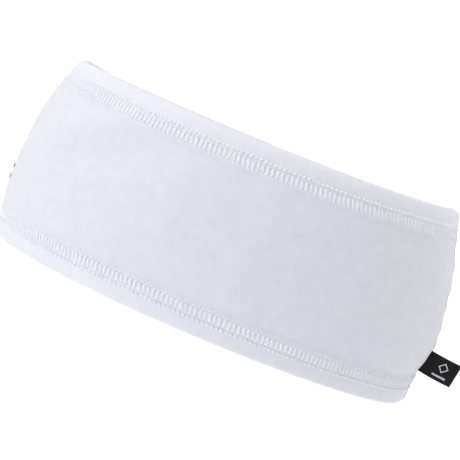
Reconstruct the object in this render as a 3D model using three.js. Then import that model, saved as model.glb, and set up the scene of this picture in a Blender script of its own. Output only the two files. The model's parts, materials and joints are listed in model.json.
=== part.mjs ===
// Stretch sports headband: one strip of brushed jersey closed by a back seam, with
// turned hems, cover stitching, a folded woven label, a care label and a transfer mark.
// Millimetres. +Z is up the head, -X is the forehead, +X is the back seam. The lower
// hem rests on z = 0, and the origin is under the middle of the bounding box.
import * as THREE from 'three';

// Plan and height of the band as it holds itself open, measured on the outside.
const HALF_LENGTH = 97.5;         // middle to forehead or back seam, at the widest level
const HALF_WIDTH = 83;            // middle to either ear, at the widest level
const HEIGHT = 84;                // lower to upper hem fold, at forehead and back
const EAR_DIP = 4.8;              // how much lower the upper hem runs over the ears

// How far the wall draws in from its widest level, at each edge.
const FRONT_UPPER_INSET = 10.6;
const BACK_UPPER_INSET = 13;
const SIDE_UPPER_INSET = 9.8;
const FRONT_LOWER_INSET = 5.8;
const BACK_LOWER_INSET = 2.6;
const SIDE_LOWER_INSET = 3.4;
const FRONT_WIDEST_LEVEL = 32;
const BACK_WIDEST_LEVEL = 27;
const STIFF_HEM_SHARE = 0.25;     // share of the lower back that its hem keeps upright

// Cloth, hems and back seam.
const CLOTH = 0.95;               // one ply of brushed jersey
const UPPER_HEM_DEPTH = 13;       // width of the ply that is turned to the inside
const LOWER_HEM_DEPTH = 12;
const FOLD_ROUND = 0.4;           // rounding of a hem's fold
const SEAM_ALLOWANCE = 6;         // width of the two joined plies behind the back seam
const SEAM_SIDE = 0.3;            // width over which those plies rise
const SEAM_END_GAP = 2;           // raw edge of a hem to the end of the seam's threads
const LAY_GAP = 0.3;              // clearance between sewn-on pieces and the cloth

// Cover stitching. Its rows lie between the hem's fold and the turned ply's raw edge.
const THREAD = 0.3;               // how thick a lying thread is
const NEEDLE_ROW = 0.6;           // width that a row of needle loops takes
const COVER_GAP = 0.9;            // outer needle row to the ladder of cover thread
const COVER_WIDTH = 3.2;
const INNER_ROW_GAP = 0.3;        // ladder of cover thread to the inner needle row
const RAW_EDGE_MARGIN = 0.3;      // inner needle row to the raw edge

// Woven label, folded and caught in the back seam.
const LABEL_REACH = 14;
const LABEL_HEIGHT = 10.3;
const LABEL_THICKNESS = 0.9;
const LABEL_RISE = 3.35;          // its lower edge above the lower hem's raw edge

// Care label, a plain satin tab caught in the seam on the inside.
const CARE_LENGTH = 28;
const CARE_HEIGHT = 20;
const CARE_THICKNESS = 0.3;
const CARE_RISE = 18;             // its lower edge above the lower hem's raw edge
const CARE_START = 1;             // distance of its sewn end from the seam line
const CARE_LAY_GAP = 0.5;         // clearance to the wall, which it lies along loosely

// Generic transfer mark on the forehead: two plain bars.
const MARK_LENGTH = 50;
const MARK_BAR = 1.6;
const MARK_PITCH = 4.7;           // between the middles of the two bars
const MARK_LEVEL = 27;            // middle of the pair, above the lower hem
const MARK_THICKNESS = 0.2;

// Fineness of the faceted surfaces.
const AROUND = 64;
const UP_OUTSIDE = 15;
const UP_INSIDE = 9;
const UP_HEM = 4;
const UP_CARE = 4;
const STRIP_STEPS = 8;

const mix = (a, b, share) => a + (b - a) * share;
const smooth = (x) => x * x * (3 - 2 * x);
const clamp01 = (x) => Math.min(1, Math.max(0, x));

// ---- The band's surface. An angle of 0 is the back seam, and half a turn the forehead.

function upperEdge(angle) {
  return HEIGHT - EAR_DIP * Math.sin(angle) ** 2;
}

// Inset of a wall that narrows up and down from its widest level.
function lengthwiseInset(angle, level) {
  const back = (1 + Math.cos(angle)) / 2;
  const widest = mix(FRONT_WIDEST_LEVEL, BACK_WIDEST_LEVEL, back);
  if (level > widest) {
    const rise = (level - widest) / (HEIGHT - widest);
    return mix(FRONT_UPPER_INSET, BACK_UPPER_INSET, back) * rise ** 2;
  }
  const drop = (widest - level) / widest;
  const front = FRONT_LOWER_INSET * drop ** 3;
  const rear = BACK_LOWER_INSET * smooth(clamp01(drop / (1 - STIFF_HEM_SHARE)));
  return mix(front, rear, back);
}

function crosswiseInset(level) {
  const widest = (FRONT_WIDEST_LEVEL + BACK_WIDEST_LEVEL) / 2;
  if (level > widest) {
    return SIDE_UPPER_INSET * ((level - widest) / (HEIGHT - widest)) ** 2;
  }
  return SIDE_LOWER_INSET * ((widest - level) / widest) ** 2;
}

// Point on the wall, moved inwards by depth, or outwards where depth is negative.
function wallPoint(angle, level, depth) {
  const a = HALF_LENGTH - lengthwiseInset(angle, level);
  const b = HALF_WIDTH - crosswiseInset(level);
  const normal = new THREE.Vector2(Math.cos(angle) / a, Math.sin(angle) / b).normalize();
  const x = a * Math.cos(angle) - normal.x * depth;
  const y = b * Math.sin(angle) - normal.y * depth;
  return new THREE.Vector3(x, y, level);
}

// Angle that lies a given distance along the wall from the back seam.
function seamAngle(distance) {
  return distance / HALF_WIDTH;
}

// Extra depth of the joined plies, which lie to the +Y side of the back seam.
function seamPlies(angle) {
  const along = angle * HALF_WIDTH;
  const rise = clamp01((along + SEAM_SIDE) / SEAM_SIDE);
  const fall = clamp01((SEAM_ALLOWANCE + SEAM_SIDE - along) / SEAM_SIDE);
  return 2 * CLOTH * Math.min(rise, fall);
}

// ---- Closed solids swept around the band.

// Joins equal loops of points into a closed surface. A loop runs up the outside and
// down the inside, and each next loop lies further round the band.
function sweep(loops, closed) {
  const size = loops[0].length;
  const index = [];
  const quad = (a, b, c, d) => index.push(a, b, c, a, c, d);
  const spans = closed ? loops.length : loops.length - 1;
  for (let i = 0; i < spans; i += 1) {
    const here = i * size;
    const next = ((i + 1) % loops.length) * size;
    for (let j = 0; j < size; j += 1) {
      const up = (j + 1) % size;
      quad(here + j, next + j, next + up, here + up);
    }
  }
  if (!closed) {
    const last = (loops.length - 1) * size;
    for (let j = 0; j < size / 2 - 1; j += 1) {
      const inner = size - 1 - j;
      quad(j, j + 1, inner - 1, inner);
      quad(last + inner, last + inner - 1, last + j + 1, last + j);
    }
  }
  const geometry = new THREE.BufferGeometry().setFromPoints(loops.flat());
  geometry.setIndex(index);
  geometry.computeVertexNormals();
  return geometry;
}

function span(from, to, steps) {
  return Array.from({ length: steps + 1 }, (_, i) => mix(from, to, i / steps));
}

// Angles right round, with extra ones where the seam plies rise and fall.
function ringAngles() {
  const stops = [-SEAM_SIDE, 0, SEAM_ALLOWANCE, SEAM_ALLOWANCE + SEAM_SIDE].map(seamAngle);
  const rest = span(stops[3], 2 * Math.PI + stops[0], AROUND).slice(1, -1);
  return [...stops, ...rest];
}

// A strip that follows the wall between two depths and two levels.
function strip(angles, closed, steps, lowAt, highAt, outerAt, innerAt) {
  const loops = angles.map((angle) => {
    const levels = span(lowAt(angle), highAt(angle), steps);
    const outside = levels.map((level) => wallPoint(angle, level, outerAt(angle)));
    const inside = levels.map((level) => wallPoint(angle, level, innerAt(angle)));
    return [...outside, ...inside.reverse()];
  });
  return sweep(loops, closed);
}

// ---- The jersey strip, with both hems turned to the inside.

function bandLoop(angle) {
  const top = upperEdge(angle);
  const rawEdge = top - UPPER_HEM_DEPTH;
  const ply = CLOTH + seamPlies(angle);
  const hem = 2 * CLOTH + seamPlies(angle);
  const at = (depth, level) => wallPoint(angle, level, depth);
  return [
    at(FOLD_ROUND, 0),
    ...span(FOLD_ROUND, top - FOLD_ROUND, UP_OUTSIDE).map((level) => at(0, level)),
    at(FOLD_ROUND, top),
    at(hem - FOLD_ROUND, top),
    ...span(top - FOLD_ROUND, rawEdge, UP_HEM).map((level) => at(hem, level)),
    ...span(rawEdge, LOWER_HEM_DEPTH, UP_INSIDE).map((level) => at(ply, level)),
    ...span(LOWER_HEM_DEPTH, FOLD_ROUND, UP_HEM).map((level) => at(hem, level)),
    at(hem - FOLD_ROUND, 0),
  ];
}

function bandFabric() {
  return sweep(ringAngles().map(bandLoop), true);
}

// ---- Threads of the cover stitch that holds each hem.

// A ring of thread lying on the outside, between two distances from a level function.
function outsideThread(lowAt, highAt) {
  const outer = () => -LAY_GAP - THREAD;
  return strip(ringAngles(), true, 1, lowAt, highAt, outer, () => -LAY_GAP);
}

// The looper thread lies on the inside, across both needle rows.
function insideThread(lowAt, highAt) {
  const face = (angle) => 2 * CLOTH + seamPlies(angle) + LAY_GAP;
  const inner = (angle) => face(angle) + THREAD;
  return strip(ringAngles(), true, 1, lowAt, highAt, face, inner);
}

// Rows of one hem, as spans of distance from its fold.
function stitchRows(hemDepth) {
  const end = hemDepth - RAW_EDGE_MARGIN;
  const innerRow = end - NEEDLE_ROW;
  const coverEnd = innerRow - INNER_ROW_GAP;
  const coverStart = coverEnd - COVER_WIDTH;
  const outerRow = coverStart - COVER_GAP - NEEDLE_ROW;
  return [
    ['outer_needle_thread', outerRow, outerRow + NEEDLE_ROW, outsideThread],
    ['cover_thread', coverStart, coverEnd, outsideThread],
    ['inner_needle_thread', innerRow, end, outsideThread],
    ['looper_thread', outerRow, end, insideThread],
  ];
}

function hemThreads(hem, hemDepth, levelAt) {
  return stitchRows(hemDepth).map(([name, near, far, make]) => {
    const a = (angle) => Math.min(levelAt(angle, near), levelAt(angle, far));
    const b = (angle) => Math.max(levelAt(angle, near), levelAt(angle, far));
    return [`${hem}_${name}`, make(a, b)];
  });
}

// ---- Threads of the back seam, on the inside between the two hems.

function seamThread(from, to, outer, inner) {
  const angles = span(seamAngle(from), seamAngle(to), 1);
  const low = () => LOWER_HEM_DEPTH + SEAM_END_GAP;
  const high = () => HEIGHT - UPPER_HEM_DEPTH - SEAM_END_GAP;
  return strip(angles, false, UP_INSIDE, low, high, () => outer, () => inner);
}

function backSeamThreads() {
  const face = 3 * CLOTH + LAY_GAP;
  const needleEnd = SEAM_SIDE + NEEDLE_ROW;
  const looperStart = needleEnd + LAY_GAP;
  const rawEdge = SEAM_ALLOWANCE + SEAM_SIDE + LAY_GAP;
  return [
    ['back_seam_needle_thread', seamThread(SEAM_SIDE, needleEnd, face, face + THREAD)],
    ['back_seam_upper_looper_thread',
      seamThread(looperStart, SEAM_ALLOWANCE, face, face + THREAD)],
    ['back_seam_lower_looper_thread',
      seamThread(rawEdge, rawEdge + NEEDLE_ROW, CLOTH + LAY_GAP, 3 * CLOTH)],
  ];
}

// ---- Labels and the transfer mark.

// Outside of the back seam, at a level.
function seamEdge(level) {
  return HALF_LENGTH - lengthwiseInset(0, level);
}

// A flag with a round root, which turns about its sewn edge, and a round fold.
function wovenLabelGeometry() {
  const r = LABEL_THICKNESS / 2;
  const outline = new THREE.Shape();
  outline.absarc(0, 0, r, Math.PI / 2, Math.PI * 1.5, false);
  outline.absarc(LABEL_REACH - r, 0, r, -Math.PI / 2, Math.PI / 2, false);
  const options = { depth: LABEL_HEIGHT, bevelEnabled: false, curveSegments: STRIP_STEPS };
  const geometry = new THREE.ExtrudeGeometry(outline, options);
  return geometry.translate(0, 0, -LABEL_HEIGHT / 2);
}

// The flag stands square to the wall, so it leans as the wall does at its level.
function placeWovenLabel(mesh) {
  const low = LOWER_HEM_DEPTH + LABEL_RISE;
  const middle = low + LABEL_HEIGHT / 2;
  const clear = LAY_GAP + LABEL_THICKNESS / 2;
  mesh.position.set(seamEdge(middle) + clear, 0, middle);
  mesh.rotation.y = Math.atan2(seamEdge(low + LABEL_HEIGHT) - seamEdge(low), LABEL_HEIGHT);
}

// The care label lies along the wall on the -Y side, where there are no seam plies.
function careLabel() {
  const angles = span(seamAngle(-CARE_START - CARE_LENGTH), seamAngle(-CARE_START), STRIP_STEPS);
  const low = () => LOWER_HEM_DEPTH + CARE_RISE;
  const high = () => low() + CARE_HEIGHT;
  const outer = CLOTH + CARE_LAY_GAP;
  return strip(angles, false, UP_CARE, low, high, () => outer, () => outer + CARE_THICKNESS);
}

function markBar(level) {
  const half = seamAngle(MARK_LENGTH / 2);
  const angles = span(Math.PI - half, Math.PI + half, 2 * STRIP_STEPS);
  const low = () => level - MARK_BAR / 2;
  const high = () => level + MARK_BAR / 2;
  const outer = () => -LAY_GAP - MARK_THICKNESS;
  return strip(angles, false, 1, low, high, outer, () => -LAY_GAP);
}

// ---- The assembly.

const jersey = { color: '#e9e8f1', roughness: 0.9, metalness: 0 };
const thread = { color: '#f3f2fa', roughness: 0.6, metalness: 0 };
const blackSatin = { color: '#111113', roughness: 0.55, metalness: 0 };
const whiteSatin = { color: '#f5f4f2', roughness: 0.45, metalness: 0 };
const transferFilm = { color: '#55565e', roughness: 0.4, metalness: 0.3 };

function piece(name, geometry, finish) {
  const mesh = new THREE.Mesh(geometry, new THREE.MeshStandardMaterial(finish));
  mesh.name = name;
  return mesh;
}

function headband() {
  const group = new THREE.Group();
  const fromUpperFold = (angle, distance) => upperEdge(angle) - distance;
  const fromLowerFold = (angle, distance) => distance;
  const upper = hemThreads('upper_hem', UPPER_HEM_DEPTH, fromUpperFold);
  const lower = hemThreads('lower_hem', LOWER_HEM_DEPTH, fromLowerFold);
  const threads = [...upper, ...lower, ...backSeamThreads()];
  const label = piece('woven_label', wovenLabelGeometry(), blackSatin);
  placeWovenLabel(label);
  group.add(piece('band_fabric', bandFabric(), jersey));
  group.add(...threads.map(([name, geometry]) => piece(name, geometry, thread)));
  group.add(label);
  group.add(piece('care_label', careLabel(), whiteSatin));
  group.add(piece('front_mark_upper_bar', markBar(MARK_LEVEL + MARK_PITCH / 2), transferFilm));
  group.add(piece('front_mark_lower_bar', markBar(MARK_LEVEL - MARK_PITCH / 2), transferFilm));
  const box = new THREE.Box3().setFromObject(group);
  group.position.x = -(box.min.x + box.max.x) / 2;
  return group;
}

export default headband();
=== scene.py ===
"""Looks of a stretch sports headband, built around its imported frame.

A strip of white brushed jersey with turned hems, cover stitching, a back seam with a
folded black label, a care label and a small transfer mark. Lengths are in millimetres
until a mesh is made, and in metres from there on.
"""
import json
import math

import bpy
import numpy as np
from mathutils import Matrix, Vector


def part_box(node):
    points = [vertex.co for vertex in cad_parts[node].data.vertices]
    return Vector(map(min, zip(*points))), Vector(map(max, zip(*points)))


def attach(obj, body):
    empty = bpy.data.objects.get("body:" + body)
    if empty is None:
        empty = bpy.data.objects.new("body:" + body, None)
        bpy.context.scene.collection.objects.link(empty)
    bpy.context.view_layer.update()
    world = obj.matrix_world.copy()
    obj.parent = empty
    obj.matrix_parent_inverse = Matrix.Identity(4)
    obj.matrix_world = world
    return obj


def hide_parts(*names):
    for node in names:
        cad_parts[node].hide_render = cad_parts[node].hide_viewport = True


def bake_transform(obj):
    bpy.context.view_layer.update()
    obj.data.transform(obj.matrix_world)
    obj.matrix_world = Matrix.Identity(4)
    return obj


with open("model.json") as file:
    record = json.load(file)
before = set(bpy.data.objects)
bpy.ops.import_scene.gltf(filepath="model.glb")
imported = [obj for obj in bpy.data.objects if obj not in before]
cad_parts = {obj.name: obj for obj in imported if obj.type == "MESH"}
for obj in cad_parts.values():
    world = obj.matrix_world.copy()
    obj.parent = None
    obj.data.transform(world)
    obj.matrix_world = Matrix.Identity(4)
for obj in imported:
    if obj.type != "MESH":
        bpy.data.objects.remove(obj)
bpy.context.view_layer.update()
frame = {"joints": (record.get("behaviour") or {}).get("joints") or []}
bpy.ops.object.select_all(action="DESELECT")

MM = 0.001

# ---- The band's plan and profile, from the frame and from how the jersey draws in.


def box_mm(node):
    low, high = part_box(node)
    return np.array(low) / MM, np.array(high) / MM


BAND_LOW, BAND_HIGH = box_mm("band_fabric")
BAND_MIDDLE = (BAND_LOW[0] + BAND_HIGH[0]) / 2
HALF_LENGTH = (BAND_HIGH[0] - BAND_LOW[0]) / 2
HALF_WIDTH = (BAND_HIGH[1] - BAND_LOW[1]) / 2
HEIGHT = BAND_HIGH[2]
EAR_DIP, FRONT_DROP = 4.8, 1.4   # the upper edge over the ears and at the forehead
FAR_DIP = 1.1               # the far side has slipped a little lower than the near side
SEAM_LIFT = 0.9             # how far the lower edge lifts at the stiff seam
SEAM_LIFT_REACH = 16.0      # and how far from the seam that fades out
FRONT_UPPER_INSET, BACK_UPPER_INSET, SIDE_UPPER_INSET = 10.6, 13.0, 9.8
FRONT_LOWER_INSET, BACK_LOWER_INSET, SIDE_LOWER_INSET = 4.6, 2.6, 3.4
FRONT_WIDEST_LEVEL, BACK_WIDEST_LEVEL = 32.0, 27.0
STIFF_HEM_SHARE = 0.25

# ---- Cloth, hems, seam and thread.
CLOTH = 0.95                # one ply of brushed jersey
FOLD_RADIUS = 1.0           # outside of a hem's fold, two plies thick
UPPER_HEM_DEPTH, LOWER_HEM_DEPTH = 13.0, 12.0
HEM_STEP = 0.45             # how far the single ply sinks behind a hem's raw edge
STEP_LEAD, STEP_RUN = 0.35, 1.1   # where that begins, before the raw edge, and its run
HEM_ROLL = 1.5              # how far the upper hem rolls inwards over the ears
HEM_ROLL_DROP = 3.4         # and how far down from its fold
HEM_PUFF = 0.22             # crown of the turned hem between its fold and its stitches
CROWN_END = 5.6             # where that ends, from the hem's raw edge
BODY_RISE = 14.0            # how far past a hem the body stands out level with it again
STITCH_BED = 0.05           # how deep the cover stitch pulls the cloth in
BED_MIDDLE, BED_REACH = 3.0, 2.6   # the bed's place, from the hem's raw edge
NEEDLE_TRENCH = 0.02        # dimpled line where the outer needle goes down
TRENCH_MIDDLE, TRENCH_REACH = 5.7, 0.8
STITCH_PITCH = 2.0
WANDER = 0.25               # how far the sewn rows stray from their line
ROW_SHIFT = 0.1             # how far the outer row sits towards the fold, the ladder away
UNEVEN_LEAN, UNEVEN_SIZE = 0.09, 0.07   # spread of the stitches' turn and size
SEAM_ALLOWANCE = 6.0
SEAM_BULK = 1.3             # what the seam's two plies add to a hem's depth
BULK_LEAD, BULK_RUN = 1.2, 1.8
# Height, place and width of each ridge across the seam: the full one over the plies, which
# lie on the far side, the slight near one, and the groove between them.
SEAM_RIDGES = ((0.65, 2.6, 1.5), (0.2, -2.0, 1.3), (-1.3, 0.2, 0.85))
SEAM_FLARE = 0.8            # how far the upper corner of the seam kicks out
SEAM_FLARE_REACH, SEAM_FLARE_DROP = 14.0, 9.0
SEAM_PEAK = 0.3             # how far that corner stands up
SEAM_PEAK_REACH = 5

# ---- Folds and fullness of the jersey.
BROAD_FOLDS = (50, 3)       # wavelength, and seed of the random draws
SMALL_FOLDS = (19, 5)
BROAD_FOLD_HEIGHT, SMALL_FOLD_HEIGHT = 0.8, 0.2
FLAT_HEM, FOLD_FADE = 8, 22   # the folds begin this far from each edge, and fade in
CREASE_ANGLE = 1.28 * math.pi   # a slanting crease on the near side, by the forehead
CREASE_LEVEL, CREASE_SLOPE, CREASE_REACH = 58, 0.35, 26
CREASE_WAVES = ((0, 1.4, 6), (-11, -1.3, 6), (10, -0.5, 5))   # offset, height, width
RIPPLE_HEIGHT, RIPPLE_LENGTH, RIPPLE_REACH = 0.22, 8.5, 9   # puckers beside the seam
FRONT_FULLNESS, FRONT_FULLNESS_LEVEL = 0.9, 64
BACK_HOLLOW, BACK_HOLLOW_LEVEL = 0.7, 46
FULLNESS_REACH = 13

# ---- Fineness of the meshes.
SEAM_COLUMNS = 40           # across the seam,
SEAM_COLUMNS_REACH = 10     # to this far on either side of it
WALL_COLUMNS = 370          # in the rest of the way round
HEM_ROWS = 15
PAST_HEM = 4                # how far past a hem's raw edge its close rows go
WALL_ROWS = 30
FOLD_ROWS = 8
PLY_ROWS = 8


def smooth(x):
    x = np.clip(x, 0, 1)
    return x * x * (3 - 2 * x)


def bell(x, width):
    return np.exp(-((x / width) ** 2))


def seam_distance(angle):
    """Distance along the wall from the back seam, positive towards +Y."""
    turn = (angle + math.pi) % (2 * math.pi) - math.pi
    return turn * HALF_WIDTH


# An angle of 0 is the back seam, half a turn is the forehead, -Y is the near side.


def upper_edge(angle):
    """Level of the upper edge: high at the seam, lower in front, lowest over the ears."""
    front = (1 - np.cos(angle)) / 2
    rise = EAR_DIP - FRONT_DROP * front
    level = HEIGHT - EAR_DIP + rise * (1 - (np.sin(angle) ** 2) ** (0.8 - 0.2 * front))
    return level - FAR_DIP * np.clip(np.sin(angle), 0, 1)


def upper_line(angle):
    """Level that the upper hem's depth and stitches are measured from."""
    return HEIGHT - EAR_DIP * np.sin(angle) ** 2


def lower_edge(angle):
    """Level of the lower edge, which lifts a little at the stiff seam."""
    return SEAM_LIFT * bell(seam_distance(angle), SEAM_LIFT_REACH)


def lengthwise_inset(angle, level):
    """How far the two ends of the oval draw in above and below the widest level."""
    back = (1 + np.cos(angle)) / 2
    widest = FRONT_WIDEST_LEVEL + (BACK_WIDEST_LEVEL - FRONT_WIDEST_LEVEL) * back
    rise = np.clip((level - widest) / (HEIGHT - widest), 0, None)
    drop = np.clip((widest - level) / widest, 0, None)
    upper = (FRONT_UPPER_INSET + (BACK_UPPER_INSET - FRONT_UPPER_INSET) * back) * rise**2
    front = FRONT_LOWER_INSET * drop**3
    rear = BACK_LOWER_INSET * smooth(drop / (1 - STIFF_HEM_SHARE))
    return upper + front * (1 - back) + rear * back


def crosswise_inset(level):
    """How far its two sides draw in."""
    widest = (FRONT_WIDEST_LEVEL + BACK_WIDEST_LEVEL) / 2
    rise = np.clip((level - widest) / (HEIGHT - widest), 0, None)
    drop = np.clip((widest - level) / widest, 0, None)
    return SIDE_UPPER_INSET * rise**2 + SIDE_LOWER_INSET * drop**2


def wall_point(angle, level, depth):
    """Points on the wall, moved inwards by depth. All three may be arrays."""
    a = HALF_LENGTH - lengthwise_inset(angle, level)
    b = HALF_WIDTH - crosswise_inset(level)
    nx, ny = np.cos(angle) / a, np.sin(angle) / b
    size = np.hypot(nx, ny)
    x = a * np.cos(angle) - nx / size * depth
    y = b * np.sin(angle) - ny / size * depth
    return np.stack([BAND_MIDDLE + x, y, level + 0 * angle], -1)


def soft_waves(points, length, seed, count=7):
    """Smooth random waves, between about -1 and 1, with a wavelength near length. They
    run round the band more than up it."""
    draw = np.random.default_rng(seed)
    total = 0.0
    for _ in range(count):
        direction = draw.normal(size=3) * (1, 1, 0.7)
        direction /= np.linalg.norm(direction)
        size = length * draw.uniform(0.7, 1.4)
        total = total + np.sin(points @ direction * (2 * math.pi / size) + draw.uniform(0, 6.28))
    return total / count**0.5 / 1.4


def folds(angle, level):
    """Soft folds and pulls of the worn jersey, outwards, in millimetres."""
    where = wall_point(angle, level, 0)
    lower_fade = smooth((level - FLAT_HEM) / FOLD_FADE)
    middle = lower_fade * smooth((upper_edge(angle) - FLAT_HEM - level) / FOLD_FADE)
    lift = BROAD_FOLD_HEIGHT * soft_waves(where, *BROAD_FOLDS) * middle
    small = SMALL_FOLD_HEIGHT * soft_waves(where, *SMALL_FOLDS)
    lift = lift + small * (0.35 + 0.65 * middle)
    away = seam_distance(angle - CREASE_ANGLE)
    above = level - CREASE_LEVEL - CREASE_SLOPE * away
    crease = sum(height * bell(above - offset, width)
                 for offset, height, width in CREASE_WAVES)
    lift = lift + bell(away, CREASE_REACH) * crease
    ripple = RIPPLE_HEIGHT * bell(seam_distance(angle), RIPPLE_REACH)
    return lift + ripple * np.sin(level * (2 * math.pi / RIPPLE_LENGTH)) * middle


def hem_relief(distance, depth):
    """Crown, stitch bed and step of one hem, by distance from its fold."""
    crown = HEM_PUFF * np.sin(np.pi * np.clip(distance / (depth - CROWN_END), 0, 1))
    bed = STITCH_BED * bell(distance - depth + BED_MIDDLE, BED_REACH)
    bed = bed + NEEDLE_TRENCH * bell(distance - depth + TRENCH_MIDDLE, TRENCH_REACH)
    return crown - bed - HEM_STEP * smooth((distance - depth + STEP_LEAD) / STEP_RUN)


def relief(angle, level):
    """How far the outer face stands out from the plain wall."""
    from_top = upper_edge(angle) - level
    hems = hem_relief(level - lower_edge(angle), LOWER_HEM_DEPTH)
    hems = hems + hem_relief(upper_line(angle) - level, UPPER_HEM_DEPTH)
    roll = np.clip(1 - from_top / HEM_ROLL_DROP, 0, 1) ** 2
    hems = hems - HEM_ROLL * roll * np.sin(angle) ** 2
    lower_rise = smooth((level - (LOWER_HEM_DEPTH - 1)) / BODY_RISE)
    upper_rise = smooth((from_top - (UPPER_HEM_DEPTH - 1)) / BODY_RISE)
    body = HEM_STEP * (lower_rise + upper_rise)
    away = seam_distance(angle)
    seam = sum(height * bell(away - place, width) for height, place, width in SEAM_RIDGES)
    flare = SEAM_FLARE * bell(away, SEAM_FLARE_REACH)
    seam = seam + flare * smooth(1 - from_top / SEAM_FLARE_DROP)
    back = (1 + np.cos(angle)) / 2
    full = FRONT_FULLNESS * bell(level - FRONT_FULLNESS_LEVEL, FULLNESS_REACH)
    hollow = BACK_HOLLOW * bell(level - BACK_HOLLOW_LEVEL, FULLNESS_REACH)
    fullness = full * (1 - back) - hollow * back
    return hems + body + seam + fullness + folds(angle, level)


def face_point(angle, level, out=0.0):
    """Points on the outer face, or off it by out."""
    return wall_point(angle, level, -relief(angle, level) - out)


# ---- The jersey strip: a ring whose section is the cloth's own path.


def section_rows(angle):
    """Levels and depths of the cloth's path, from the upper raw edge, over the upper
    fold, down the outside, over the lower fold and up to the lower raw edge."""
    top = upper_edge(angle) + SEAM_PEAK * bell(seam_distance(angle), SEAM_PEAK_REACH)
    bottom = lower_edge(angle)
    turn = np.linspace(0, math.pi, FOLD_ROWS + 1)[1:-1]
    back = 2 * FOLD_RADIUS + hem_bulk(angle)
    half = back / 2
    rows = []
    for share in np.linspace(0, 1, PLY_ROWS):
        low, high = upper_line(angle) - UPPER_HEM_DEPTH, top - FOLD_RADIUS
        rows.append((low + (high - low) * share, back))
    for t in turn:
        rows.append((top - FOLD_RADIUS * (1 - math.sin(t)), half * (1 + math.cos(t))))
    for distance in np.linspace(FOLD_RADIUS, UPPER_HEM_DEPTH + PAST_HEM, HEM_ROWS):
        rows.append((top - distance, 0 * angle))
    for share in np.linspace(0, 1, WALL_ROWS + 1)[1:-1]:
        high = top - UPPER_HEM_DEPTH - PAST_HEM
        low = bottom + LOWER_HEM_DEPTH + PAST_HEM
        rows.append((high + (low - high) * share, 0 * angle))
    for distance in np.linspace(LOWER_HEM_DEPTH + PAST_HEM, FOLD_RADIUS, HEM_ROWS):
        rows.append((bottom + distance, 0 * angle))
    for t in turn:
        rows.append((bottom + FOLD_RADIUS * (1 - math.sin(t)), half * (1 - math.cos(t))))
    for distance in np.linspace(FOLD_RADIUS, LOWER_HEM_DEPTH, PLY_ROWS):
        rows.append((bottom + distance, back))
    levels = np.array([level for level, _ in rows])
    depths = np.array([depth for _, depth in rows])
    return levels, depths


def hem_bulk(angle):
    """Extra depth of a hem where the seam's two plies are folded into it."""
    away = seam_distance(angle)
    near = smooth((away + BULK_LEAD) / BULK_RUN)
    return SEAM_BULK * near * smooth((SEAM_ALLOWANCE + BULK_LEAD - away) / BULK_RUN)


def new_mesh_object(name, points, faces):
    mesh = bpy.data.meshes.new(name)
    mesh.from_pydata((points * MM).tolist(), [], faces)
    mesh.validate()
    obj = bpy.data.objects.new(name, mesh)
    bpy.context.scene.collection.objects.link(obj)
    mesh.shade_smooth()
    return obj


def grid_faces(rows, columns, closed):
    """Quads of a grid whose points run row by row."""
    spans = columns if closed else columns - 1
    i, j = np.meshgrid(np.arange(rows - 1), np.arange(spans), indexing="ij")
    k = (j + 1) % columns
    quads = [i * columns + j, (i + 1) * columns + j, (i + 1) * columns + k, i * columns + k]
    return np.stack(quads, -1).reshape(-1, 4).tolist()


def add_cloth_uv(obj, points, rows, columns, closed):
    """UV in metres of cloth: round the band, and along the section."""
    grid = points.reshape(rows, columns, 3) * MM
    middle = grid[rows // 2]
    steps = np.linalg.norm(np.roll(middle, -1, 0) - middle, axis=1)
    round_band = np.concatenate([[0], np.cumsum(steps)])
    along = np.linalg.norm(np.diff(grid, axis=0), axis=2).mean(1)
    along = np.concatenate([[0], np.cumsum(along)])
    layer = obj.data.uv_layers.new(name="cloth")
    values = []
    spans = columns if closed else columns - 1
    for i in range(rows - 1):
        for j in range(spans):
            for r, c in ((i, j), (i + 1, j), (i + 1, j + 1), (i, j + 1)):
                values += [round_band[c], along[r]]
    layer.data.foreach_set("uv", np.array(values, np.float32))


def activate(obj):
    bpy.ops.object.select_all(action="DESELECT")
    obj.select_set(True)
    bpy.context.view_layer.objects.active = obj


def apply_modifier(obj, kind, **settings):
    activate(obj)
    modifier = obj.modifiers.new(kind.lower(), kind)
    for key, value in settings.items():
        setattr(modifier, key, value)
    bpy.ops.object.modifier_apply(modifier=modifier.name)


def make_jersey_strip():
    """The cloth's section swept round the band, then given its thickness."""
    near = SEAM_COLUMNS_REACH / HALF_WIDTH
    across_seam = np.linspace(-near, near, SEAM_COLUMNS, endpoint=False)
    round_wall = np.linspace(near, 2 * math.pi - near, WALL_COLUMNS, endpoint=False)
    angle = np.concatenate([across_seam, round_wall])
    levels, depths = section_rows(angle)
    rows, columns = levels.shape
    round_angle = np.broadcast_to(angle, levels.shape)
    points = wall_point(round_angle, levels, depths - relief(round_angle, levels))
    points = points.reshape(-1, 3)
    strip = new_mesh_object("jersey_strip", points, grid_faces(rows, columns, True))
    add_cloth_uv(strip, points, rows, columns, True)
    apply_modifier(strip, "SOLIDIFY", thickness=CLOTH * MM, offset=-1)
    strip.data.shade_smooth()
    mark_plies(strip)
    return strip


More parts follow.
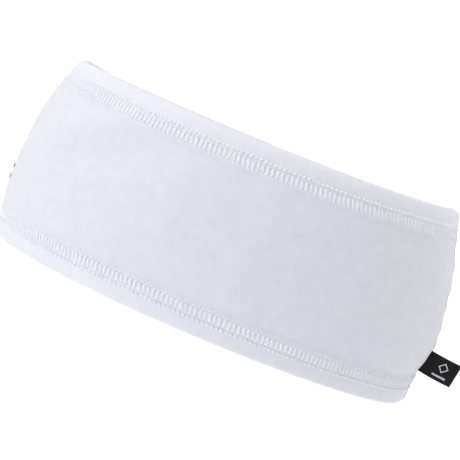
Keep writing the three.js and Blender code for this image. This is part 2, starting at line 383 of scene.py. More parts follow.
def mark_plies(obj):
    """Stores, from 0 to 1, how much of a second ply lies behind each point of the hems, and how
    close it is to the bottom of the seam, which masks painted shade along the seam's groove."""
    points = np.array([v.co for v in obj.data.vertices]) / MM
    angle = np.arctan2(points[:, 1] / HALF_WIDTH, (points[:, 0] - BAND_MIDDLE) / HALF_LENGTH)
    past, fade = 0.6, 2
    from_top = upper_line(angle) - points[:, 2]
    upper = smooth((UPPER_HEM_DEPTH + past - from_top) / fade)
    from_bottom = points[:, 2] - lower_edge(angle)
    lower = smooth((LOWER_HEM_DEPTH + past - from_bottom) / fade)
    double = np.maximum(upper, lower)
    # Painted shade: a mask for darkening the colour along the seam's groove, where shade falls.
    groove_painted_shade = bell(seam_distance(angle) - 0.5, 0.9)
    for name, values in (("double_cloth", double), ("seam_groove_painted_shade", groove_painted_shade)):
        layer = obj.data.attributes.new(name, "FLOAT", "POINT")
        layer.data.foreach_set("value", values.astype(np.float32))


# ---- Stitches: each kind is modelled once as a bent thread, then copied along its row.


def bent_thread(name, path, radius, flatten=1.0):
    """A closed piece of thread along a smooth path, in millimetres, flattened in the
    direction that stands off the cloth."""
    curve = bpy.data.curves.new(name, "CURVE")
    curve.dimensions = "3D"
    spline = curve.splines.new("NURBS")
    spline.points.add(len(path) - 1)
    for point, place in zip(spline.points, path):
        point.co = (*place, 1)
    spline.use_endpoint_u = True
    spline.order_u = 3
    spline.resolution_u = 1
    curve.bevel_depth = radius
    curve.bevel_resolution = 1
    curve.use_fill_caps = True
    obj = bpy.data.objects.new(name, curve)
    bpy.context.scene.collection.objects.link(obj)
    activate(obj)
    bpy.ops.object.convert(target="MESH")
    obj = bpy.context.view_layer.objects.active
    bpy.ops.object.mode_set(mode="EDIT")
    bpy.ops.mesh.select_all(action="SELECT")
    bpy.ops.mesh.remove_doubles(threshold=0.001)
    bpy.ops.mesh.normals_make_consistent(inside=False)
    bpy.ops.transform.resize(value=(1, 1, flatten))
    bpy.ops.object.mode_set(mode="OBJECT")
    return obj


def row_angles(level_at, pitch):
    """Angles at equal distances round the band, along a row of stitches."""
    fine = np.linspace(0, 2 * math.pi, 4001)
    points = face_point(fine, level_at(fine))
    run = np.concatenate([[0], np.cumsum(np.linalg.norm(np.diff(points, axis=0), axis=1))])
    count = int(round(run[-1] / pitch))
    return np.interp((np.arange(count) + 0.5) * run[-1] / count, run, fine)


def stitch_frames(angles, level_at, surface):
    """Place, and directions along the row, up the wall and off the cloth."""
    step = 0.004
    place = surface(angles, level_at(angles))
    ahead = surface(angles + step, level_at(angles + step))
    above = surface(angles, level_at(angles) + 0.3)
    along = ahead - place
    along /= np.linalg.norm(along, axis=1, keepdims=True)
    up = above - place
    off = np.cross(along, up)
    off /= np.linalg.norm(off, axis=1, keepdims=True)
    up = np.cross(off, along)
    return place, along, up, off


def copy_along(name, template, frames, flip=False):
    """Joins a copy of the template at each frame, with small uneven turns and sizes, and
    facing inwards where flip is set."""
    place, along, up, off = frames
    if flip:
        along, off = -along, -off
    local = np.array([v.co for v in template.data.vertices])
    faces = [list(p.vertices) for p in template.data.polygons]
    draw = np.random.default_rng(len(place) + len(local))
    points, all_faces = [], []
    for k in range(len(place)):
        lean = draw.normal(0, UNEVEN_LEAN)
        size = 1 + draw.normal(0, UNEVEN_SIZE)
        u = along[k] * math.cos(lean) + up[k] * math.sin(lean)
        v = up[k] * math.cos(lean) - along[k] * math.sin(lean)
        copy = local * (size, 1, size)
        points.append(place[k] + np.outer(copy[:, 0], u) + np.outer(copy[:, 1], v)
                      + np.outer(copy[:, 2], off[k]))
        all_faces += [[i + k * len(local) for i in face] for face in faces]
    bpy.data.objects.remove(template)
    return new_mesh_object(name, np.vstack(points), all_faces)


def rung_template(reach):
    """One rung of the ladder: a thick S of cover thread that dips into the cloth."""
    lean = 0.3 * reach
    path = [(-lean + 0.95, reach - 0.3, -0.35), (-lean + 0.35, reach + 0.05, 0.05),
            (-lean * 0.8, reach * 0.7, 0.14), (0, 0, 0.16), (lean * 0.8, -reach * 0.7, 0.14),
            (lean - 0.35, -reach - 0.05, 0.05), (lean - 0.95, -reach + 0.3, -0.35)]
    return bent_thread("rung", path, radius=0.6, flatten=0.46)


def bead_template():
    """One needle loop: a short, fat bead of thread that stands off the cloth."""
    path = [(-0.45, 0, -0.3), (-0.38, 0.03, 0.1), (0, 0, 0.33), (0.38, -0.03, 0.1),
            (0.45, 0, -0.3)]
    return bent_thread("needle_loop", path, radius=0.56, flatten=0.85)


def knot_template():
    """One small needle loop between the ends of two rungs."""
    path = [(-0.45, 0.2, -0.3), (-0.3, 0.12, 0.05), (0, 0, 0.16), (0.3, -0.12, 0.05),
            (0.45, -0.2, -0.3)]
    return bent_thread("small_loop", path, radius=0.27, flatten=0.9)


def looper_template(reach):
    """One looper stitch on the inside: up across both rows and back in a slant."""
    path = [(-1.0, -reach, -0.1), (-0.6, -reach + 0.3, 0.25), (-0.35, 0, 0.34),
            (-0.1, reach - 0.3, 0.3), (0.25, reach + 0.25, 0.2), (0.6, reach - 0.3, 0.25),
            (0.75, 0, 0.3), (0.9, -reach + 0.3, 0.2), (1.0, -reach, -0.1)]
    return bent_thread("looper_stitch", path, radius=0.2)


def row_levels(node, hem, shift=0.0):
    """Middle level of a thread's row as a function of angle, and half of its width."""
    low, high = box_mm(node)
    if hem == "lower_hem":
        middle, half = (low[2] + high[2]) / 2 + shift, (high[2] - low[2]) / 2
        return (lambda angle: lower_edge(angle) + middle + WANDER * np.sin(3 * angle + 1)), half
    near, far = HEIGHT - high[2], HEIGHT - EAR_DIP - low[2]
    middle, half = (near + far) / 2 - shift, (far - near) / 2
    return (lambda angle: upper_line(angle) - middle - WANDER * np.sin(5 * angle)), half


def inner_face(angle, level):
    """Inner face of a turned hem, where the looper thread lies."""
    depth = 2 * FOLD_RADIUS + hem_bulk(angle) - relief(angle, level)
    return wall_point(angle, level, depth)


def make_hem_threads(hem):
    """The four threads of one cover-stitched hem, by the last part of their node's name."""
    made = {}
    to_fold = ROW_SHIFT if hem == "upper_hem" else -ROW_SHIFT
    cover_at, half = row_levels(f"{hem}_cover_thread", hem, -to_fold)
    angles = row_angles(cover_at, STITCH_PITCH)
    frames = stitch_frames(angles, cover_at, face_point)
    made["cover_thread"] = copy_along(f"{hem}_ladder", rung_template(half), frames)
    between = angles + (angles[1] - angles[0]) / 2
    outer_at, _ = row_levels(f"{hem}_outer_needle_thread", hem, to_fold)
    frames = stitch_frames(angles, outer_at, face_point)
    made["outer_needle_thread"] = copy_along(f"{hem}_needle_loops", bead_template(), frames)
    inner_at, _ = row_levels(f"{hem}_inner_needle_thread", hem)
    frames = stitch_frames(between, inner_at, face_point)
    made["inner_needle_thread"] = copy_along(f"{hem}_small_loops", knot_template(), frames)
    looper_at, half = row_levels(f"{hem}_looper_thread", hem)
    frames = stitch_frames(angles, looper_at, inner_face)
    made["looper_thread"] = copy_along(f"{hem}_looper_chain", looper_template(half), frames,
                                       flip=True)
    return made


# ---- Back seam: the two plies behind it and their overlock threads.

SEAM_LOW = LOWER_HEM_DEPTH - 1.0
SEAM_HIGH = HEIGHT - UPPER_HEM_DEPTH + 1.0


def seam_face(along, level, off):
    """A point behind the wall at the back seam: distance along it, level and depth."""
    angle = along / HALF_WIDTH
    return wall_point(angle, level, CLOTH + off - relief(angle, level))


def make_seam_plies():
    """The two joined plies, laid to one side behind the seam, with soft raw edges."""
    outline = [(-0.4, 0.0), (-0.6, 0.9), (-0.3, 1.6), (0.5, 1.95), (2.5, 2.0), (4.6, 1.95),
               (5.7, 1.75), (6.15, 1.45), (5.9, 1.1), (6.2, 0.8), (5.9, 0.3), (5.2, 0.08),
               (2.5, 0.02)]
    levels = np.linspace(SEAM_LOW, SEAM_HIGH, 60)
    rows = []
    for level in levels:
        wave = 0.16 * math.sin(level * 1.7) + 0.1 * math.sin(level * 0.63 + 1)
        row = [seam_face(a + wave * max(a, 0) / 6, level, d + 0.05) for a, d in outline]
        rows.append(np.array(row))
    points = np.vstack(rows)
    size = len(outline)
    faces = grid_faces(len(levels), size, True)
    faces.append(list(range(size)))
    faces.append([(len(levels) - 1) * size + i for i in reversed(range(size))])
    plies = new_mesh_object("back_seam_plies", points, faces)
    activate(plies)
    bpy.ops.object.mode_set(mode="EDIT")
    bpy.ops.mesh.select_all(action="SELECT")
    bpy.ops.mesh.normals_make_consistent(inside=False)
    bpy.ops.object.mode_set(mode="OBJECT")
    apply_modifier(plies, "SUBSURF", levels=1, render_levels=1)
    plies.data.shade_smooth()
    return plies


def seam_frames(along, off, pitch):
    """Frames of a row of stitches that runs up the seam."""
    levels = np.arange(SEAM_LOW + 3, SEAM_HIGH - 3, pitch)
    place = np.array([seam_face(along, level, off) for level in levels])
    above = np.array([seam_face(along, level + 0.3, off) for level in levels])
    beside = np.array([seam_face(along + 0.3, level, off) for level in levels])
    up = above - place
    up /= np.linalg.norm(up, axis=1, keepdims=True)
    across = beside - place
    off_cloth = np.cross(up, across)
    off_cloth /= np.linalg.norm(off_cloth, axis=1, keepdims=True)
    return place, up, np.cross(off_cloth, up), off_cloth


def make_seam_threads():
    """The three overlock threads, by the name of the node that each stands for."""
    loop = bent_thread("seam_loop", [(-1.1, 0, -0.3), (-0.8, 0, 0.1), (0, 0, 0.2),
                                     (0.8, 0, 0.1), (1.1, 0, -0.3)], 0.22)
    needle = copy_along("seam_needle_stitches", loop, seam_frames(0.9, 2.05, 2.4))
    slant = bent_thread("seam_slant", [(-0.5, -2.1, -0.1), (-0.45, -1.8, 0.2), (0, 0, 0.26),
                                       (0.45, 1.9, 0.2), (0.5, 2.4, -0.2)], 0.2)
    upper = copy_along("seam_upper_looper_stitches", slant, seam_frames(3.6, 2.02, 1.2))
    wrap = bent_thread("seam_wrap", [(0, -0.5, 1.0), (0, -0.1, 1.15), (0, 0.35, 0.9),
                                     (0, 0.45, 0), (0, 0.3, -0.85), (0, -0.3, -1.0)], 0.2)
    lower = copy_along("seam_lower_looper_stitches", wrap, seam_frames(6.1, 1.05, 1.2))
    return {"back_seam_needle_thread": needle, "back_seam_upper_looper_thread": upper,
            "back_seam_lower_looper_thread": lower}


# ---- The folded woven label, its woven mark and the care label.

LABEL_JOINT = next(j for j in frame["joints"] if j["name"] == "label_flip")
LABEL_ROOT = np.array(LABEL_JOINT["pos_m"]) / MM
LABEL_UP = np.array(LABEL_JOINT["axis"]) / np.linalg.norm(LABEL_JOINT["axis"])
LABEL_OUT = np.cross((0, 1, 0), LABEL_UP)
LABEL_REACH = 14.0
LABEL_HEIGHT = 10.3
LABEL_PLY = 0.34            # one ply of woven ribbon
LABEL_ROOT_DEPTH = 1.6      # how far the ribbon reaches into the seam
LABEL_PUFF = 0.2            # how far each ply stands off at the middle
LABEL_EDGE = 0.09           # rounding of the ribbon's edges


def label_point(out, up, off):
    """A point of the label, by its distances out from the seam, up the seam and off the
    label's middle. The free end sags a little and curls to -Y."""
    share = np.clip(out / LABEL_REACH, 0, 1)
    curl = -0.55 * share**2 + 0.25 * np.sin(up * 0.5) * share
    sag = 0.9 * share**2
    place = LABEL_ROOT + np.multiply.outer(out, LABEL_OUT)
    place = place + np.multiply.outer(up + sag, LABEL_UP)
    return place + np.multiply.outer(off + curl, (0, 1, 0))


def make_woven_label():
    """One ribbon folded at its free end, both ends caught in the seam."""
    fold, half_gap = LABEL_PLY * 1.3, 0.62 * LABEL_PLY
    end = LABEL_REACH - fold
    near = np.linspace(-LABEL_ROOT_DEPTH, end, 22)
    turn = np.linspace(-math.pi / 2, math.pi / 2, 9)[1:-1]
    gap = half_gap + LABEL_PUFF * np.sin(np.clip(near / end, 0, 1) * math.pi) ** 2
    path = [(x, -g) for x, g in zip(near, gap)]
    path += [(end + fold * math.cos(t), half_gap * math.sin(t)) for t in turn]
    path += [(x, g) for x, g in zip(near[::-1], gap[::-1])]
    rows = 15
    ups = np.linspace(-LABEL_HEIGHT / 2, LABEL_HEIGHT / 2, rows)
    out, up = np.meshgrid([x for x, _ in path], ups)
    off, _ = np.meshgrid([g for _, g in path], ups)
    points = label_point(out, up, off).reshape(-1, 3)
    faces = grid_faces(rows, len(path), False)
    label = new_mesh_object("folded_woven_label", points, faces)
    add_cloth_uv(label, points, rows, len(path), False)
    apply_modifier(label, "SOLIDIFY", thickness=LABEL_PLY * MM, offset=0)
    apply_modifier(label, "BEVEL", width=LABEL_EDGE * MM, segments=2, limit_method="ANGLE")
    label.data.shade_smooth()
    return label


MARK_CENTRE = (8.0, 1.0)
MARK_RADIUS, MARK_HOLE = 2.3, 0.72   # the diamond's hole is a share of its size
MARK_THICKNESS = 0.08
MARK_BAR_CENTRE = (7.9, -3.1)
MARK_BAR_HALF = (3.1, 0.42)


def mark_point(out, up, side):
    """A point of the mark, which follows one face of the puffed label."""
    lift = LABEL_PUFF * math.sin(np.clip(out / LABEL_REACH, 0, 1) * math.pi) ** 2
    off = side * (LABEL_PLY * 1.12 + LABEL_PUFF)
    return label_point(out, up, off - side * (LABEL_PUFF - lift))


def make_label_mark():
    """A generic woven mark: an open diamond over a plain bar, on both faces."""
    diamond = []
    for k in range(4):
        a, b = k * math.pi / 2, (k + 1) * math.pi / 2
        for t in np.linspace(0, 1, 6)[:-1]:
            diamond.append((MARK_RADIUS * ((1 - t) * math.cos(a) + t * math.cos(b)),
                            MARK_RADIUS * ((1 - t) * math.sin(a) + t * math.sin(b))))
    count = len(diamond)
    points, faces = [], []
    for side in (-1, 1):
        start = len(points)
        for scale_by in (MARK_HOLE, 1.0):
            points += [mark_point(MARK_CENTRE[0] + x * scale_by,
                                  MARK_CENTRE[1] + y * scale_by, side) for x, y in diamond]
        ring = [[start + i, start + (i + 1) % count, start + count + (i + 1) % count,
                 start + count + i] for i in range(count)]
        faces += ring
        start = len(points)
        for y in (-MARK_BAR_HALF[1], MARK_BAR_HALF[1]):
            points += [mark_point(MARK_BAR_CENTRE[0] + x, MARK_BAR_CENTRE[1] + y, side)
                       for x in np.linspace(-MARK_BAR_HALF[0], MARK_BAR_HALF[0], 10)]
        faces += [[start + i, start + i + 1, start + 11 + i, start + 10 + i]
                  for i in range(9)]
    mark = new_mesh_object("label_woven_mark", np.array(points), faces)
    apply_modifier(mark, "SOLIDIFY", thickness=MARK_THICKNESS * MM, offset=0)
    return mark


CARE_LOW, CARE_HIGH = box_mm("care_label")
CARE_PLY = 0.24
CARE_GAP = 0.45             # middle of its ply off the wall, at its root
CARE_ROOT, CARE_END = -0.2, -29.0   # along the wall, from the seam towards -Y


def make_care_label():
    """A blank satin tab along the inside of the wall, sewn into the seam at one end."""
    rows, columns = 16, 40
    distances = np.linspace(CARE_ROOT, CARE_END, columns)
    levels = np.linspace(CARE_LOW[2], CARE_HIGH[2], rows)
    along, level = np.meshgrid(distances, levels)
    away = smooth(-along / 6)
    wave = 0.3 * np.sin(level * 0.35) * away**2
    depth = CLOTH + CARE_GAP + 0.35 * away + wave
    angle = along / HALF_WIDTH
    points = wall_point(angle, level, depth - relief(angle, level)).reshape(-1, 3)
    tab = new_mesh_object("satin_care_label", points, grid_faces(rows, columns, False))
    add_cloth_uv(tab, points, rows, columns, False)
    apply_modifier(tab, "SOLIDIFY", thickness=CARE_PLY * MM, offset=0)
    tab.data.shade_smooth()
    return tab


FILM_THICKNESS = 0.2


def make_mark_bar(node, name):
    """A bar of transfer film with round ends, pressed on to the forehead, at the level
    and length of its node."""
    low, high = box_mm(node)
    level, half = (low[2] + high[2]) / 2, (high[2] - low[2]) / 2
    reach = math.asin(high[1] / HALF_WIDTH) * HALF_WIDTH
    ends = half * (1 - np.cos(np.linspace(0, math.pi / 2, 7)))
    along = np.concatenate([-reach + ends, np.linspace(-reach + half, reach - half, 40)[1:-1],
                            (reach - ends)[::-1]])
    past = np.clip((np.abs(along) - reach + half) / half, 0, 0.995)
    heights = half * np.sqrt(1 - past**2)
    rows = 5
    across = np.linspace(-1, 1, rows)[:, None]
    angles = np.broadcast_to(math.pi + along / HALF_WIDTH, (rows, len(along)))
    points = face_point(angles, level + across * heights, 0.08).reshape(-1, 3)
    bar = new_mesh_object(name, points, grid_faces(rows, len(along), False))
    apply_modifier(bar, "SOLIDIFY", thickness=FILM_THICKNESS * MM, offset=-1)
    return bar


jersey = make_jersey_strip()
hem_threads = {hem: make_hem_threads(hem) for hem in ("upper_hem", "lower_hem")}
plies = make_seam_plies()
seam_threads = make_seam_threads()
label = make_woven_label()
label_mark = make_label_mark()
care_label = make_care_label()
mark_bars = {node: make_mark_bar(node, node.replace("front_mark", "film"))
             for node in ("front_mark_upper_bar", "front_mark_lower_bar")}

# ---- Materials. The patterns' scales are real sizes in millimetres, apart from those
# whose comments say that they are drawn coarser.


def linear(hex_colour):
    """An sRGB hex value as linear RGBA."""
    values = [int(hex_colour[i:i + 2], 16) / 255 for i in (1, 3, 5)]
    return [v / 12.92 if v <= 0.04045 else ((v + 0.055) / 1.055) ** 2.4 for v in values] + [1]


def node(tree, kind, settings=None, **inputs):
    """Adds a node, sets its properties, and sets or links its inputs, which go by name,
    with _ for a space, or by number, as in i0."""
    made = tree.nodes.new(kind)
    for key, value in (settings or {}).items():
        setattr(made, key, value)
    for key, value in inputs.items():
        by_number = key[1:].isdigit()
        socket = made.inputs[int(key[1:]) if by_number else key.replace("_", " ")]
        if isinstance(value, bpy.types.NodeSocket):
            tree.links.new(value, socket)
        else:
            socket.default_value = value
    return made


def new_material(name):
    material = bpy.data.materials.new(name)
    material.use_nodes = True
    tree = material.node_tree
    return material, tree, tree.nodes["Principled BSDF"]


def wave_scale(period_mm):
    """Scale of a band wave texture for a period in millimetres. At a scale of 1 its
    period is 2 pi / 20 of the coordinates' metres."""
    return 2 * math.pi / 20 / (period_mm * MM)


def noise_scale(grain_mm):
    """Scale of a noise or cell texture for a grain or cell in millimetres."""
    return 1 / (grain_mm * MM)


def set_sheen(shader, weight, roughness):
    shader.inputs["Sheen Weight"].default_value = weight
    shader.inputs["Sheen Roughness"].default_value = roughness


def brushed_polyester_jersey():
    """Fine weft-knit polyester, brushed and heat-set: matt and velvety, with a soft
    bright rim from its nap, faint wales, a slightly clouded surface and greyer specks
    where the nap has felted. It is brighter where a second ply lies behind it. The
    knit's loops are about 0.65 by 0.5 mm, drawn coarser, 0.75 by 0.6 mm, to show."""
    material, tree, shader = new_material("brushed_polyester_jersey")
    place = node(tree, "ShaderNodeTexCoord")
    cloud = node(tree, "ShaderNodeTexNoise", Vector=place.outputs["Object"],
                 Scale=noise_scale(4), Detail=2.0)
    single = node(tree, "ShaderNodeMix", {"data_type": "RGBA"}, Factor=cloud.outputs["Fac"],
                  i6=linear("#e1e1e9"), i7=linear("#ececf3"))
    double = node(tree, "ShaderNodeMix", {"data_type": "RGBA"}, Factor=cloud.outputs["Fac"],
                  i6=linear("#eaeaf4"), i7=linear("#f4f4fd"))
    plies = node(tree, "ShaderNodeAttribute", {"attribute_name": "double_cloth"})
    colour = node(tree, "ShaderNodeMix", {"data_type": "RGBA"}, Factor=plies.outputs["Fac"],
                  i6=single.outputs[2], i7=double.outputs[2])
    # Painted shade: the colour is darkened towards #b9b8c8 along the seam's groove, as a dark
    # line of shade.
    groove_painted_shade = node(tree, "ShaderNodeAttribute", {"attribute_name": "seam_groove_painted_shade"})
    shaded = node(tree, "ShaderNodeMix", {"data_type": "RGBA"}, Factor=groove_painted_shade.outputs["Fac"],
                  i6=colour.outputs[2], i7=linear("#b9b8c8"))
    sway = node(tree, "ShaderNodeTexNoise", Vector=place.outputs["Object"], Scale=noise_scale(3))
    bent = node(tree, "ShaderNodeMix", {"data_type": "RGBA", "blend_type": "ADD"}, Factor=0.003,
                i6=place.outputs["Object"], i7=sway.outputs["Color"])
    cells = node(tree, "ShaderNodeTexVoronoi", Vector=bent.outputs[2], Scale=noise_scale(8))
    speck = node(tree, "ShaderNodeMapRange", i0=cells.outputs["Distance"], i1=0.04, i2=0.24,
                 i3=0.13, i4=0.0)
    pilled = node(tree, "ShaderNodeMix", {"data_type": "RGBA"}, Factor=speck.outputs[0],
                  i6=shaded.outputs[2], i7=linear("#d2d2de"))
    tree.links.new(pilled.outputs[2], shader.inputs["Base Color"])
    wales = node(tree, "ShaderNodeTexWave", {"bands_direction": "X"},
                 Vector=place.outputs["UV"], Scale=wave_scale(0.75), Distortion=1.2,
                 Detail=1.0, Detail_Scale=2.0)
    courses = node(tree, "ShaderNodeTexWave", {"bands_direction": "Y"},
                   Vector=place.outputs["UV"], Scale=wave_scale(0.6), Distortion=1.2,
                   Detail=1.0, Detail_Scale=2.0)
    knit = node(tree, "ShaderNodeMath", {"operation": "MULTIPLY"},
                i0=wales.outputs["Fac"], i1=courses.outputs["Fac"])
    nap = node(tree, "ShaderNodeTexNoise", Vector=place.outputs["Object"],
               Scale=noise_scale(0.9), Detail=6.0, Roughness=0.7)
    pills = node(tree, "ShaderNodeTexNoise", Vector=place.outputs["Object"],
                 Scale=noise_scale(5), Detail=2.0)
    low = node(tree, "ShaderNodeBump", Height=pills.outputs["Fac"], Strength=0.5,
               Distance=0.06 * MM)
    mid = node(tree, "ShaderNodeBump", Height=nap.outputs["Fac"], Strength=0.5,
               Distance=0.1 * MM, Normal=low.outputs["Normal"])
    fine = node(tree, "ShaderNodeBump", Height=knit.outputs["Value"], Strength=0.35,
                Distance=0.1 * MM, Normal=mid.outputs["Normal"])
    tree.links.new(fine.outputs["Normal"], shader.inputs["Normal"])
    shader.inputs["Roughness"].default_value = 0.92
    shader.inputs["Subsurface Weight"].default_value = 0.4
    shader.inputs["Subsurface Radius"].default_value = (1.0, 1.0, 1.0)
    shader.inputs["Subsurface Scale"].default_value = 1.0 * MM
    shader.inputs["Specular IOR Level"].default_value = 0.2
    set_sheen(shader, 0.06, 0.5)
    return material


def textured_polyester_thread():
    """Bulked polyester looper thread: white, round and a little glossier than the cloth.
    Its filaments are finer than a hair, drawn coarser, as 0.35 mm strands, to show."""
    material, tree, shader = new_material("textured_polyester_thread")
    place = node(tree, "ShaderNodeTexCoord")
    fibres = node(tree, "ShaderNodeTexNoise", Vector=place.outputs["Object"],
                  Scale=noise_scale(0.35), Detail=4.0, Roughness=0.65)
    colour = node(tree, "ShaderNodeMix", {"data_type": "RGBA"}, Factor=fibres.outputs["Fac"],
                  i6=linear("#f1f1fb"), i7=linear("#fbfbff"))
    tree.links.new(colour.outputs[2], shader.inputs["Base Color"])
    bump = node(tree, "ShaderNodeBump", Height=fibres.outputs["Fac"], Strength=0.5,
                Distance=0.12 * MM)
    tree.links.new(bump.outputs["Normal"], shader.inputs["Normal"])
    shader.inputs["Roughness"].default_value = 0.6
    set_sheen(shader, 0.5, 0.4)
    return material


def black_damask_ribbon():
    """Damask-woven polyester ribbon: deep black, with the soft lustre of its fine warp.
    Its threads are about 0.1 mm apart, drawn coarser, 0.3 and 0.22 mm, to show."""
    material, tree, shader = new_material("black_damask_ribbon")
    place = node(tree, "ShaderNodeTexCoord")
    weft = node(tree, "ShaderNodeTexWave", {"bands_direction": "Y"},
                Vector=place.outputs["UV"], Scale=wave_scale(0.3), Distortion=0.6)
    warp = node(tree, "ShaderNodeTexWave", {"bands_direction": "X"},
                Vector=place.outputs["UV"], Scale=wave_scale(0.22), Distortion=0.6)
    weave = node(tree, "ShaderNodeMath", {"operation": "MULTIPLY"},
                 i0=weft.outputs["Fac"], i1=warp.outputs["Fac"])
    colour = node(tree, "ShaderNodeMix", {"data_type": "RGBA"}, Factor=weave.outputs["Value"],
                  i6=linear("#0c0c0e"), i7=linear("#1a1a1d"))
    tree.links.new(colour.outputs[2], shader.inputs["Base Color"])
    bump = node(tree, "ShaderNodeBump", Height=weave.outputs["Value"], Strength=0.6,
                Distance=0.06 * MM)
    tree.links.new(bump.outputs["Normal"], shader.inputs["Normal"])
    shader.inputs["Roughness"].default_value = 0.6
    shader.inputs["Specular IOR Level"].default_value = 0.25
    set_sheen(shader, 0.1, 0.4)
    return material


def grey_weft_floats():
    """Pale grey polyester weft that floats on the ribbon to draw its mark: dull bright
    lines. They are about 0.12 mm apart, drawn coarser, 0.26 mm, to show."""
    material, tree, shader = new_material("grey_weft_floats")
    place = node(tree, "ShaderNodeTexCoord")
    floats = node(tree, "ShaderNodeTexWave", {"bands_direction": "Z"},
                  Vector=place.outputs["Object"], Scale=wave_scale(0.26), Distortion=0.8)
    colour = node(tree, "ShaderNodeMix", {"data_type": "RGBA"}, Factor=floats.outputs["Fac"],
                  i6=linear("#b4b4ba"), i7=linear("#e6e6ea"))
    tree.links.new(colour.outputs[2], shader.inputs["Base Color"])
    shader.inputs["Roughness"].default_value = 0.5
    return material


def white_satin_ribbon():
    """Plain satin ribbon: warm white with a silky gleam along its length. Its warp is
    about 0.1 mm apart, drawn coarser, 0.25 mm, to show."""
    material, tree, shader = new_material("white_satin_ribbon")
    place = node(tree, "ShaderNodeTexCoord")
    warp = node(tree, "ShaderNodeTexWave", {"bands_direction": "Y"},
                Vector=place.outputs["UV"], Scale=wave_scale(0.25), Distortion=0.5)
    colour = node(tree, "ShaderNodeMix", {"data_type": "RGBA"}, Factor=warp.outputs["Fac"],
                  i6=linear("#ecebe7"), i7=linear("#f8f7f4"))
    tree.links.new(colour.outputs[2], shader.inputs["Base Color"])
    bump = node(tree, "ShaderNodeBump", Height=warp.outputs["Fac"], Strength=0.4,
                Distance=0.04 * MM)
    tree.links.new(bump.outputs["Normal"], shader.inputs["Normal"])
    shader.inputs["Roughness"].default_value = 0.35
    shader.inputs["Anisotropic"].default_value = 0.4
    return material


def matte_transfer_film():
    """Heat-transfer film: thin, dark grey and dull, with the 0.5 mm grain of the cloth
    pressed in."""
    material, tree, shader = new_material("matte_transfer_film")
    place = node(tree, "ShaderNodeTexCoord")
    grain = node(tree, "ShaderNodeTexNoise", Vector=place.outputs["Object"],
                 Scale=noise_scale(0.5), Detail=3.0)
    colour = node(tree, "ShaderNodeMix", {"data_type": "RGBA"}, Factor=grain.outputs["Fac"],
                  i6=linear("#17171b"), i7=linear("#242429"))
    tree.links.new(colour.outputs[2], shader.inputs["Base Color"])
    bump = node(tree, "ShaderNodeBump", Height=grain.outputs["Fac"], Strength=0.5,
                Distance=0.05 * MM)
    tree.links.new(bump.outputs["Normal"], shader.inputs["Normal"])
    shader.inputs["Roughness"].default_value = 0.45
    return material


def dress(obj, material, body, slot, *nodes):
    """Gives a piece its material and body, and hides the CAD nodes that it stands for. Its slot
    is not used.
    """
    obj.data.materials.clear()
    obj.data.materials.append(material)
    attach(obj, body)
    if nodes:
        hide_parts(*nodes)


jersey_finish = brushed_polyester_jersey()
thread_finish = textured_polyester_thread()
film_finish = matte_transfer_film()
dress(jersey, jersey_finish, "band", "brushed_jersey", "band_fabric")
dress(plies, jersey_finish, "band", "brushed_jersey")
for hem, made in hem_threads.items():
    for thread, obj in made.items():
        dress(obj, thread_finish, "band", "polyester_thread", f"{hem}_{thread}")
for seam_node, obj in seam_threads.items():
    dress(obj, thread_finish, "band", "polyester_thread", seam_node)
for bar_node, obj in mark_bars.items():
    dress(obj, film_finish, "band", "transfer_film", bar_node)

# The label and the care label bend from the seam. They are baked where they stand, with no body
# of their own; the label's mark goes on the label_flag body.
label.data.materials.append(black_damask_ribbon())
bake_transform(label)
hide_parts("woven_label")
dress(label_mark, grey_weft_floats(), "label_flag", "black_woven_satin")

care_label.data.materials.append(white_satin_ribbon())
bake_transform(care_label)
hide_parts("care_label")

# ---- Studio, in metres: a glowing table in a room with five large soft lights.
TABLE_SIDE, TABLE_DROP, TABLE_GLOW = 12, 0.0004, 0.74


def make_table():
    """Opal acrylic lit from below, just under the band: white, with hardly a shadow."""
    bpy.ops.mesh.primitive_plane_add(size=TABLE_SIDE, location=(0, 0, -TABLE_DROP))
    table = bpy.context.view_layer.objects.active
    table.name = "backlit_table"
    material, _, shader = new_material("white_acrylic")
    shader.inputs["Base Color"].default_value = linear("#949498")
    shader.inputs["Emission Color"].default_value = linear("#ffffff")
    shader.inputs["Emission Strength"].default_value = TABLE_GLOW
    table.data.materials.append(material)


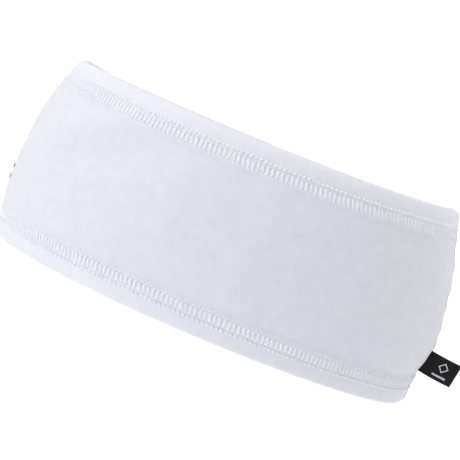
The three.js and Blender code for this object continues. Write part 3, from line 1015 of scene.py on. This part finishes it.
# Soft lobes of light round the band: where each comes from, how narrow it is (the cosine
# at its edge) and its strength.
LOBES = [((0.77, 0.64, 0), 0.4, 1.35),      # behind on the right
         ((-0.14, 0.99, 0), 0.45, 1.05),    # the white wall behind
         ((-0.58, -0.81, 0), 0.5, 1.06),    # near left
         ((0, 0, 1), 0.7, 1.8),             # overhead
         ((-0.53, -0.37, 0.77), 0.5, 0.8)]  # high on the near left


def make_surroundings():
    """The room as the sum of the lobes: bright on the left, dim to the near right."""
    world = bpy.data.worlds.new("studio")
    world.use_nodes = True
    bpy.context.scene.world = world
    tree = world.node_tree
    place = node(tree, "ShaderNodeTexCoord")
    total = 0.0
    for direction, edge, strength in LOBES:
        towards = node(tree, "ShaderNodeVectorMath", {"operation": "DOT_PRODUCT"},
                       i0=place.outputs["Generated"], i1=direction)
        lobe = node(tree, "ShaderNodeMapRange", {"interpolation_type": "SMOOTHSTEP"},
                    i0=towards.outputs["Value"], i1=edge, i2=1.0, i3=0.0, i4=strength)
        total = node(tree, "ShaderNodeMath", {"operation": "ADD"}, i0=total,
                     i1=lobe.outputs[0]).outputs["Value"]
    background = tree.nodes["Background"]
    tree.links.new(total, background.inputs["Strength"])
    background.inputs["Color"].default_value = linear("#fdfdff")


def make_camera():
    """Beside the band, level with its upper edge, rolled so that the band slopes."""
    azimuth, distance, level = math.radians(8), 0.6943, 0.0747
    roll, lens = math.radians(22.715), 126.4
    middle = BAND_MIDDLE * MM
    place = np.array([middle + distance * math.sin(azimuth),
                      -distance * math.cos(azimuth), level])
    target = np.array([middle - 0.001, 0, 0.0389])
    ahead = (target - place) / np.linalg.norm(target - place)
    right = np.cross(ahead, (0, 0, 1))
    right /= np.linalg.norm(right)
    up = np.cross(right, ahead)
    tilted_right = right * math.cos(roll) + up * math.sin(roll)
    tilted_up = up * math.cos(roll) - right * math.sin(roll)
    camera = bpy.data.objects.new("camera", bpy.data.cameras.new("camera"))
    bpy.context.scene.collection.objects.link(camera)
    matrix = np.eye(4)
    matrix[:3, 0], matrix[:3, 1], matrix[:3, 2] = tilted_right, tilted_up, -ahead
    matrix[:3, 3] = place
    camera.matrix_world = Matrix(matrix.tolist())
    camera.data.lens = lens
    camera.data.sensor_width = 36
    camera.data.clip_start = 0.01
    bpy.context.scene.camera = camera


make_table()
make_surroundings()
make_camera()
bpy.context.scene.view_settings.view_transform = "Standard"
